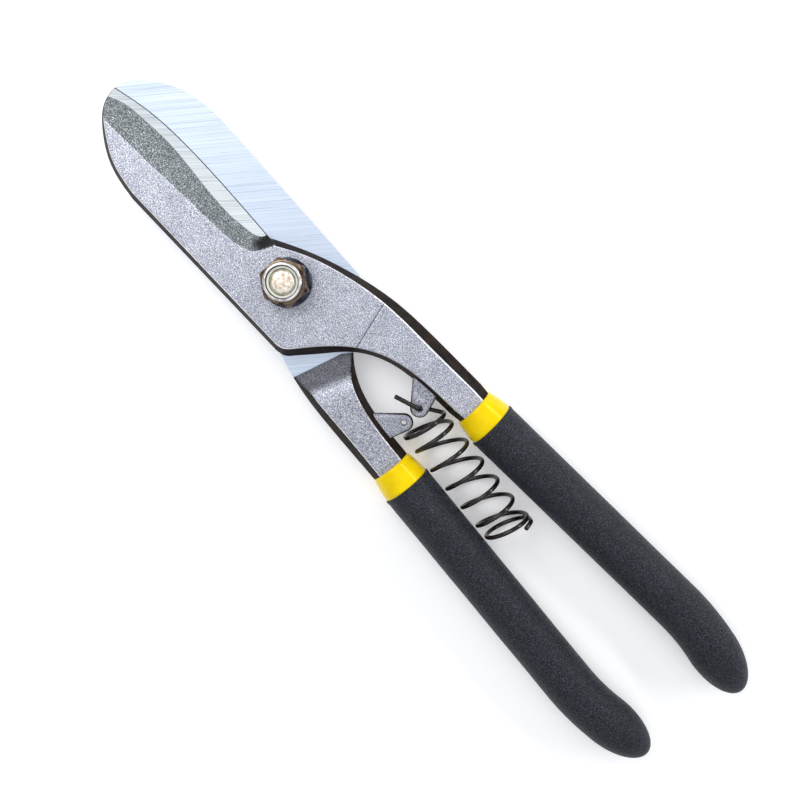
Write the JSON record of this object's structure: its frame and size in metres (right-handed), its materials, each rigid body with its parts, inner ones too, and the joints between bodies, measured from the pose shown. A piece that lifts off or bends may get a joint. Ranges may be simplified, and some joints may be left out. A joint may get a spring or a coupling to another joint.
{
  "type": "tin snips",
  "caption": "Hand-held tin snips: lapped forged blades on a lock-nut pivot, dipped handles and a coil spring hung from one handle lug.",
  "frame": {"origin": "on the pivot axis, at the outer face of the bolt head, which is the lowest face of the tool as it lies", "axes": "+X along the closed tool to the blade tips, +Z along the pivot axis from the bolt head to the lock nut"},
  "size_m": [0.2671, 0.0586, 0.0223],
  "materials": {
    "blade_steel": "silver-grey blasted forging with a ground shear face and a ground bevel",
    "plated_steel": "bright plated fastener",
    "insert_nylon": "pale moulded nylon ring",
    "washer_steel": "blackened steel",
    "sleeve_vinyl": "glossy yellow dipped vinyl",
    "grip_vinyl": "matte black dipped vinyl with a fine speckle",
    "spring_steel": "dark oiled spring wire"
  },
  "bodies": {
    "front_half": {"front_blade": "blade_steel", "pivot_bolt": "plated_steel", "nut_washer": "washer_steel", "lock_nut": "plated_steel", "lock_nut_insert": "insert_nylon", "front_inner_sleeve": "sleeve_vinyl", "front_grip": "grip_vinyl"},
    "back_half": {"back_blade": "blade_steel", "back_inner_sleeve": "sleeve_vinyl", "back_grip": "grip_vinyl"},
    "spring": {"return_spring": "spring_steel"}
  },
  "joints": [
    {"name": "blade_pivot", "type": "hinge", "parent": "front_half", "child": "back_half", "pos_m": [0, 0, 0.00825], "axis": [0, 0, -1], "range_deg": [0, 32]},
    {"name": "spring_swing", "type": "hinge", "parent": "front_half", "child": "spring", "pos_m": [-0.0549, -0.0033, 0.0083], "axis": [0, 0, 1], "range_deg": [0, 1]}
  ]
}
